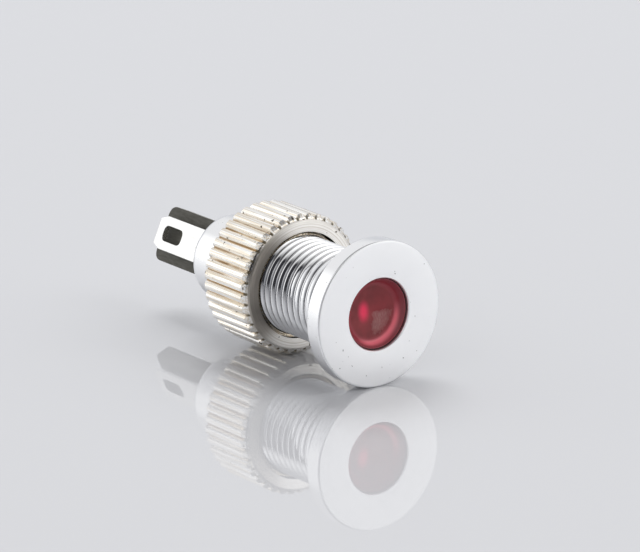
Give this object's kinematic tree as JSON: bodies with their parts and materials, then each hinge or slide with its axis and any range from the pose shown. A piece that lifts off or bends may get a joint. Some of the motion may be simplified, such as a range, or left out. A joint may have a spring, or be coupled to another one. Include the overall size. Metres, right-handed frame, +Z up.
{
  "type": "panel pilot light",
  "caption": "Small panel pilot light: flat metal flange with a dished red lens, fine-threaded shank, deep knurled ring nut and two flat solder tabs beside an insulating divider.",
  "frame": {"origin": "on the lamp's axis, in the plane of the flange's back face, which seats on the panel", "axes": "+Y runs along the axis from the flange towards the solder tabs; +Z is up with the lamp lying on its side; the tabs' width is turned 24 degrees from +Z towards +X"},
  "size_m": [0.0118, 0.0286, 0.0118],
  "materials": {
    "chrome_plate": "bright chrome plate on turned brass",
    "nickel_plate": "worn nickel plate on turned brass, stained in the grooves",
    "red_lens": "red translucent plastic, moulded",
    "led_epoxy": "tinted epoxy",
    "white_plastic": "moulded",
    "tinned_wire": "tinned",
    "black_tube": "thin extruded tube",
    "resistor_coat": "lacquer coat",
    "liner_film": "rolled insulating film",
    "solder": "soft solder",
    "dark_moulding": "moulded",
    "olive_board": "dark insulating board",
    "tab_plate": "bright tinned brass sheet",
    "black_resin": "poured resin"
  },
  "bodies": {
    "lamp": {"lamp_body": "chrome_plate", "lens": "red_lens", "led": "led_epoxy", "led_holder": "white_plastic", "anode_lead": "tinned_wire", "cathode_lead": "tinned_wire", "lead_sleeve": "black_tube", "resistor": "resistor_coat", "resistor_front_lead": "tinned_wire", "resistor_rear_lead": "tinned_wire", "insulating_liner": "liner_film", "lead_joint": "solder", "anode_joint": "solder", "cathode_joint": "solder", "terminal_base": "dark_moulding", "divider": "olive_board", "anode_tab": "tab_plate", "cathode_tab": "tab_plate", "sealing_resin": "black_resin"},
    "nut": {"knurled_nut": "nickel_plate"}
  },
  "joints": [
    {"name": "nut_travel", "type": "slide", "parent": "lamp", "child": "nut", "axis": [0, 1, 0], "range_m": [-0.0082, 0.0192]}
  ]
}
